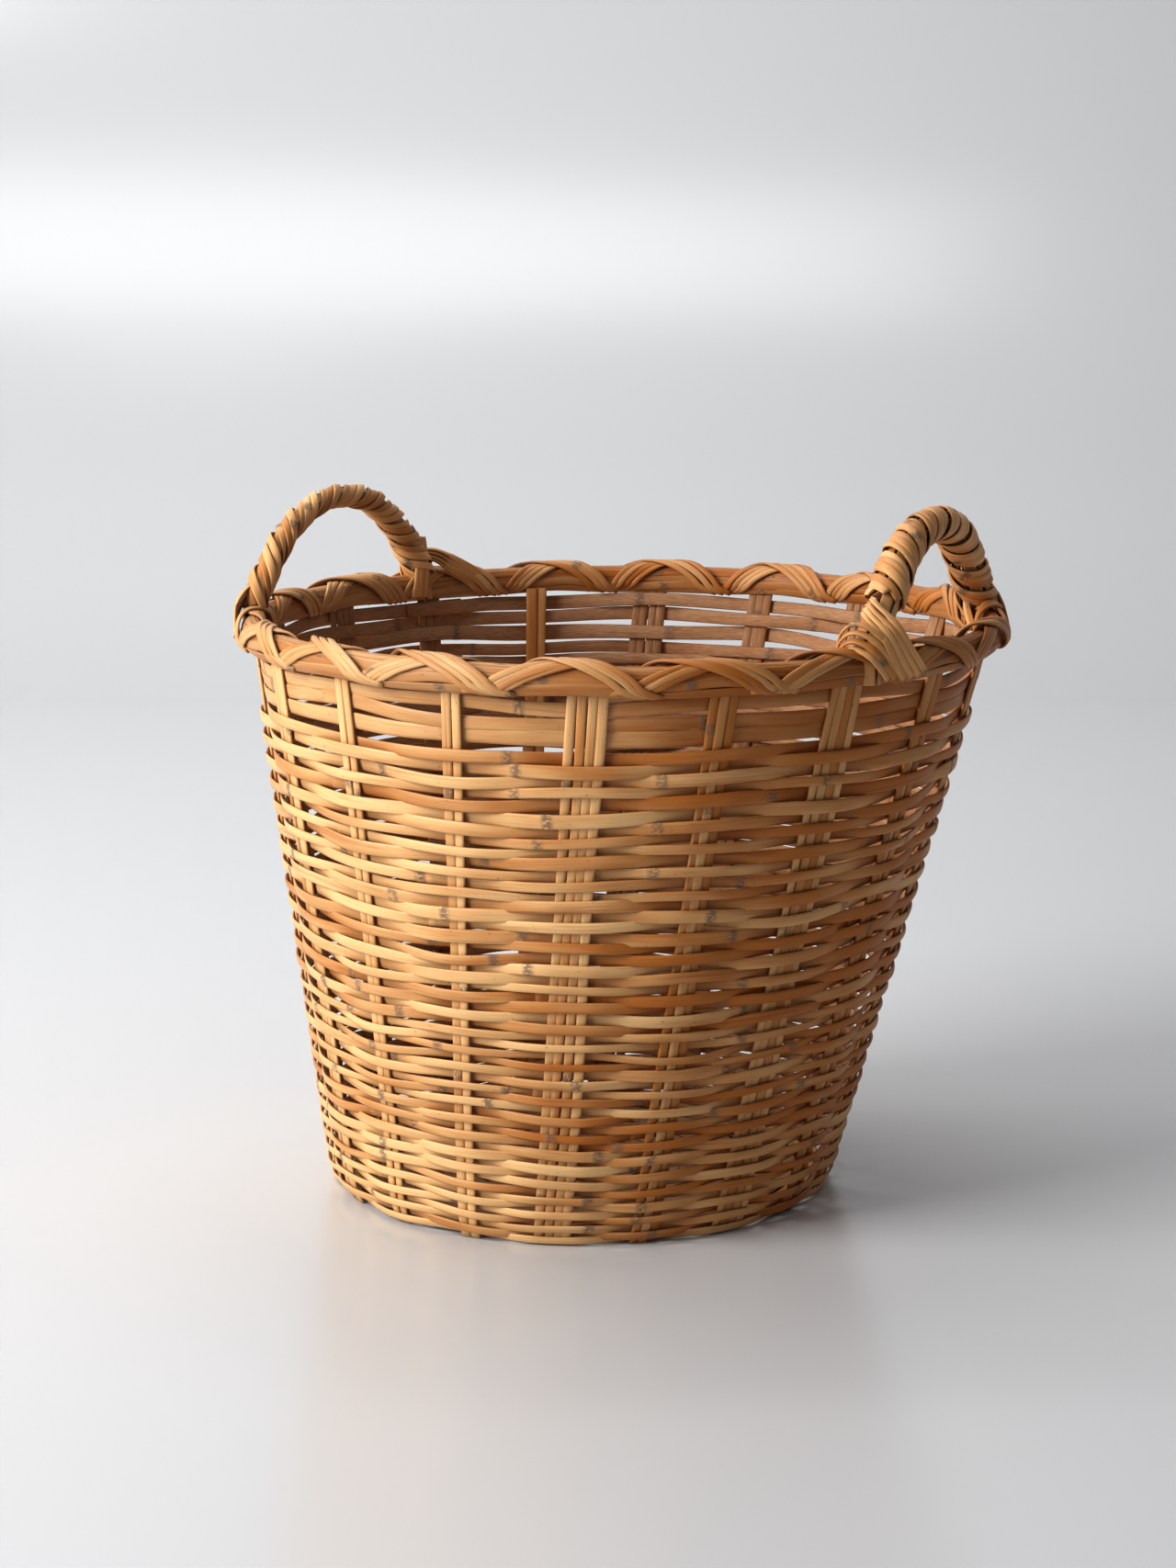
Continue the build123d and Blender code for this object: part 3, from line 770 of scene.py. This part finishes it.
# Steps from cane to cane, in mm, of feet that go over the border and are cut off level.
OVER_THE_BORDER = ((1.4, 0, 1.4), (2.2, 0, 2.2), (4.8, 0.1, 0.4))
BACK_OVER_THE_BORDER = ((-1.4, 0, 1.4), (-2.2, 0, 2.2), (-4.2, 0.1, 0.6))
FOLDED = ((0.3, 0, 3.4), (1.2, 0, 4.1), (4.8, 0.1, 0))
ALONG_THE_TOP = ((-0.8, 0, 1.4), (-1.2, 0, 2), (-3, 0, 1))
DOWN_THE_INSIDE = ((2, 0, 0), (2.6, 0, 0), (3.3, 0, 0))
FOOT_CANES = {
    "handle_right_foot_front": (RIGHT_FRONT, (
        (((-9, -10, -6), (-11, -8, 5), (-10, 1, 11.5), (-4, 9, 8), (4, 10.4, -0.5), (12, 9.6, -9)),
         4, FOLDED),
        (((19, -9.5, 28), (9, -8.6, 25), (3, 0, 22.5), (5.5, 10, 14.5), (12.5, 11.6, 3), (22, 10.2, -9)),
         4, OVER_THE_BORDER),
    )),
    "handle_right_foot_back": (RIGHT_BACK, (
        (((2, -9, 20), (8, -3, 16), (7, 4, 12), (0, 7.4, 6), (-11, 8.6, -2), (-21, 8.2, -11)),
         4, BACK_OVER_THE_BORDER),
        (((6, 4, 9), (0, -6, 10), (-10, -10, 4), (-22, -9.6, -8)), 3, BACK_OVER_THE_BORDER),
    )),
    "handle_left_foot_front": (LEFT_FRONT, (
        (((-6, 1, 13), (0, 5, 9), (8, 7.6, 3), (16, 7, -9)), 4, OVER_THE_BORDER),
    )),
    "handle_left_foot_back": (LEFT_BACK, (
        (((0, 5, 12), (-7, 8.4, 4), (-18, 8, -9)), 3, BACK_OVER_THE_BORDER),
        (((3, 0, 14), (-7, -5, 13), (-18, -8.6, 7), (-30, -10, 0), (-41, -9, -10)),
         4, ALONG_THE_TOP),
        (((3, -5, 24), (4, -8.5, 12), (5, -9.6, 0), (6, -8.6, -10)), 3, DOWN_THE_INSIDE),
    )),
}
for node, (polar, groups) in FOOT_CANES.items():
    canes = Canes()
    for points, count, steps in groups:
        foot_canes(canes, polar, points, count, steps)
    canes.piece(node, "handle_cane")

# ---------------------------------------------------------------- base

HOOP_OUTSIDE = (BASE_HIGH[0] - BASE_LOW[0]) / 2
# The hoop's canes: in from its outside, and their height.
HOOP_CANES = ((0.0018, 0.0016), (0.0056, 0.0016), (0.0018, 0.005), (0.0056, 0.005), (0.0037, 0.0031))
HOOP_HALF_HEIGHT = 0.003
HOOP_CANE = (0.0042, 0.0023)  # width and thickness
BASE_LAP = 1.01  # turns that a ring makes
BASE_THICKNESS = 0.0018
STICKS = 5
STICK_PITCH, STICK_WIDTH = 0.007, 0.0062
STICK_STEPS = 60
STICK_END = 0.0005  # a stick stops short of its node's box by this, and more at the sides
RING_START = 0.0172
RINGS_INSIDE, RINGS_OUTSIDE = 6, 7
RING_SHARE = 0.97  # of the rings' pitch, covered by a ring

canes = Canes()
for inset, height in HOOP_CANES:
    polar = any_phase() + TURN * BASE_LAP
    place = at(height, HOOP_OUTSIDE - inset, polar)
    outward = UP * (-1 if height < HOOP_HALF_HEIGHT else 1) * np.ones((len(polar), 1))
    canes.lay(place, outward, *HOOP_CANE, tone=draw.uniform(0.2, 0.8))
canes.piece("base_hoop", "base_cane")

for node, axis in (("base_sticks_lower", 0), ("base_sticks_upper", 1)):
    low, high = node_box(node)
    canes = Canes()
    for n in range(STICKS):
        across = (n - (STICKS - 1) / 2) * STICK_PITCH
        reach = (high - low)[axis] / 2 - STICK_END - abs(across) * 0.14
        run = np.linspace(-reach, reach, STICK_STEPS)
        place = np.zeros((STICK_STEPS, 3)) + (low + high) / 2
        place[:, axis] += run
        place[:, 1 - axis] += across + 0.0004 * np.sin(run * 40 + n)
        outward = UP * (1 if axis else -1) * np.ones((STICK_STEPS, 1))
        canes.lay(place, outward, STICK_WIDTH, BASE_THICKNESS, tone=draw.uniform(0.2, 0.8))
    canes.piece(node, "base_cane")

inner_low, inner_high = node_box("base_weave_inner")
outer_low, outer_high = node_box("base_weave_outer")
ring_z = (inner_low[2] + inner_high[2]) / 2
inner_edge = (inner_high[0] - inner_low[0]) / 2
outer_edge = (outer_high[0] - outer_low[0]) / 2
for node, start, edge, rings in (
    ("base_weave_inner", RING_START, inner_edge, RINGS_INSIDE),
    ("base_weave_outer", inner_edge, outer_edge, RINGS_OUTSIDE),
):
    canes = Canes()
    step = (edge - start) / rings
    for n in range(rings):
        radius = start + (n + 0.5) * step
        polar = any_phase() + TURN * BASE_LAP
        wave = 0.0005 * np.sin(8 * polar + math.pi * n)
        place = at(0.0, radius + wave, polar) + UP * ring_z
        place[:, 2] += 0.0004 * np.sin(16 * polar + math.pi * n)
        outward = UP * np.ones((len(polar), 1))
        canes.lay(place, outward, step * RING_SHARE, BASE_THICKNESS, tone=draw.uniform(0.2, 0.8),
                  pith_out=True)
    canes.piece(node, "base_cane")

# ---------------------------------------------------------------- camera, floor and light

LOOK = math.radians(25.6)  # the camera's turn from looking along +Y
TIP = math.radians(10.6)  # how far it looks down
CAMERA_RIGHT, CAMERA_BACK, CAMERA_UP = 0.004, 1.832, 0.557  # from the base's middle
LENS = 80.14
FILM_HEIGHT = 36
look_right = Vector((math.cos(LOOK), math.sin(LOOK), 0))
look_forward = Vector((-math.sin(LOOK), math.cos(LOOK), 0))
base_middle = Vector(BASE_MIDDLE)


def placed(right, forward, up):
    """A place given along the camera's own level directions from the basket's base."""
    return base_middle + look_right * right + look_forward * forward + Vector((0, 0, up))


camera_data = bpy.data.cameras.new("camera")
camera_data.sensor_fit = "VERTICAL"
camera_data.sensor_height = FILM_HEIGHT
camera_data.lens = LENS
camera = bpy.data.objects.new("camera", camera_data)
camera.location = placed(CAMERA_RIGHT, -CAMERA_BACK, CAMERA_UP)
camera.rotation_euler = (math.pi / 2 - TIP, 0, LOOK)
bpy.context.scene.collection.objects.link(camera)
bpy.context.scene.camera = camera


def stage_finish(name, colour, roughness):
    """A plain surface for the table and the wall behind it."""
    material = bpy.data.materials.new(name)
    material.use_nodes = True
    tree = material.node_tree
    tree.nodes.clear()
    start = Shade(tree)
    surface = start.node(
        "ShaderNodeBsdfPrincipled", {}, {"Base Color": colour, "Roughness": roughness})
    start.node("ShaderNodeOutputMaterial", {}, {"Surface": surface})
    return material


def sweep(name, profile, half_length, finish):
    """A plain sheet: a profile of (forward, up) points swept from side to side."""
    points, faces = [], []
    for forward, up in profile:
        for side in (-half_length, half_length):
            points.append(placed(side, forward, up))
    for n in range(len(profile) - 1):
        faces.append((2 * n, 2 * n + 1, 2 * n + 3, 2 * n + 2))
    mesh = bpy.data.meshes.new(name)
    mesh.from_pydata(points, [], faces)
    for face in mesh.polygons:
        face.use_smooth = True
    mesh.materials.append(finish)
    made = bpy.data.objects.new(name, mesh)
    bpy.context.scene.collection.objects.link(made)


COVE = 0.8  # radius where the table turns up into the wall
TABLE_FRONT, TABLE_BACK, WALL_TOP, HALF_LENGTH = -4, 1.6, 5, 5
cove = [
    (TABLE_BACK + COVE * math.sin(a), COVE - COVE * math.cos(a))
    for a in np.linspace(0, math.pi / 2, 24)
]
sweep("table", [(TABLE_FRONT, 0)] + cove + [(TABLE_BACK + COVE, WALL_TOP)], HALF_LENGTH,
      stage_finish("pale_table", (0.61, 0.615, 0.625, 1), 0.24))


def soft_light(name, place, size, power, colour=(1, 1, 1), aim_at=(0, 0, 0.18)):
    """A soft box of light, placed and aimed along the camera's own level directions."""
    data = bpy.data.lights.new(name, "AREA")
    data.shape = "RECTANGLE"
    data.size, data.size_y = size
    data.energy = power
    data.color = colour
    lamp = bpy.data.objects.new(name, data)
    lamp.location = placed(*place)
    aim = placed(*aim_at) - lamp.location
    lamp.rotation_euler = aim.to_track_quat("-Z", "Y").to_euler()
    bpy.context.scene.collection.objects.link(lamp)


soft_light("window_left", (-1.9, -0.95, 1.2), (1.3, 1.5), 75, (1.0, 0.99, 0.975))
soft_light("sky_above", (-0.7, 0.7, 2.3), (1.8, 1.8), 17)
soft_light("wall_wash", (-0.6, 0.9, 2.4), (2.6, 0.8), 30, aim_at=(-0.7, 2.4, 0.6))

world = bpy.data.worlds.new("room")
world.use_nodes = True
background = world.node_tree.nodes["Background"]
background.inputs["Color"].default_value = (0.9, 0.92, 0.95, 1)
background.inputs["Strength"].default_value = 0.3
bpy.context.scene.world = world
bpy.context.scene.view_settings.view_transform = "Standard"
bpy.context.scene.view_settings.gamma = 0.85
